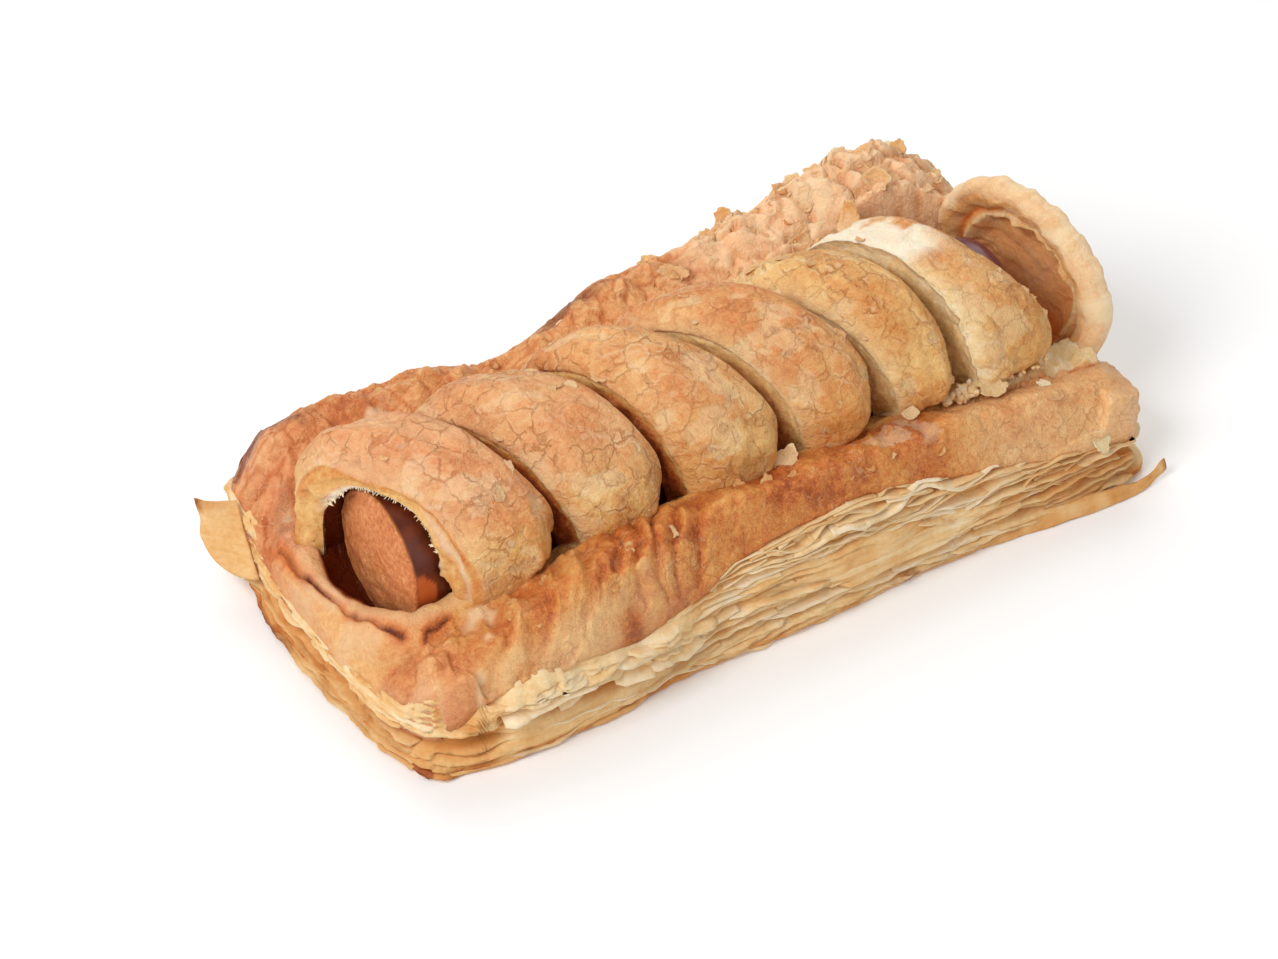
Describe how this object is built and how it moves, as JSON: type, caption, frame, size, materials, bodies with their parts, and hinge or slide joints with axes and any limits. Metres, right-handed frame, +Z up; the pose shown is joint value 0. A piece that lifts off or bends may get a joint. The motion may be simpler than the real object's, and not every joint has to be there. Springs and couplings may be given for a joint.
{
  "type": "sausage roll",
  "caption": "Baked sausage roll: a whole sausage in a risen puff pastry case with slanted slits across its domed top, open at one end and hooded at the other.",
  "frame": {"origin": "under the middle of the roll's own box, on the surface it rests on", "axes": "+Z up; +X along the sausage, from its cut end towards the hooded end; -Y towards the near long side"},
  "size_m": [0.16, 0.0764, 0.0458],
  "materials": {
    "pastry": "baked puff pastry, egg glazed on top and bare and flaky on the walls",
    "sausage": "smoked sausage with a dark glossy casing and a paler cut end"
  },
  "bodies": {
    "root": {"pastry": "pastry", "sausage": "sausage"}
  },
  "joints": []
}
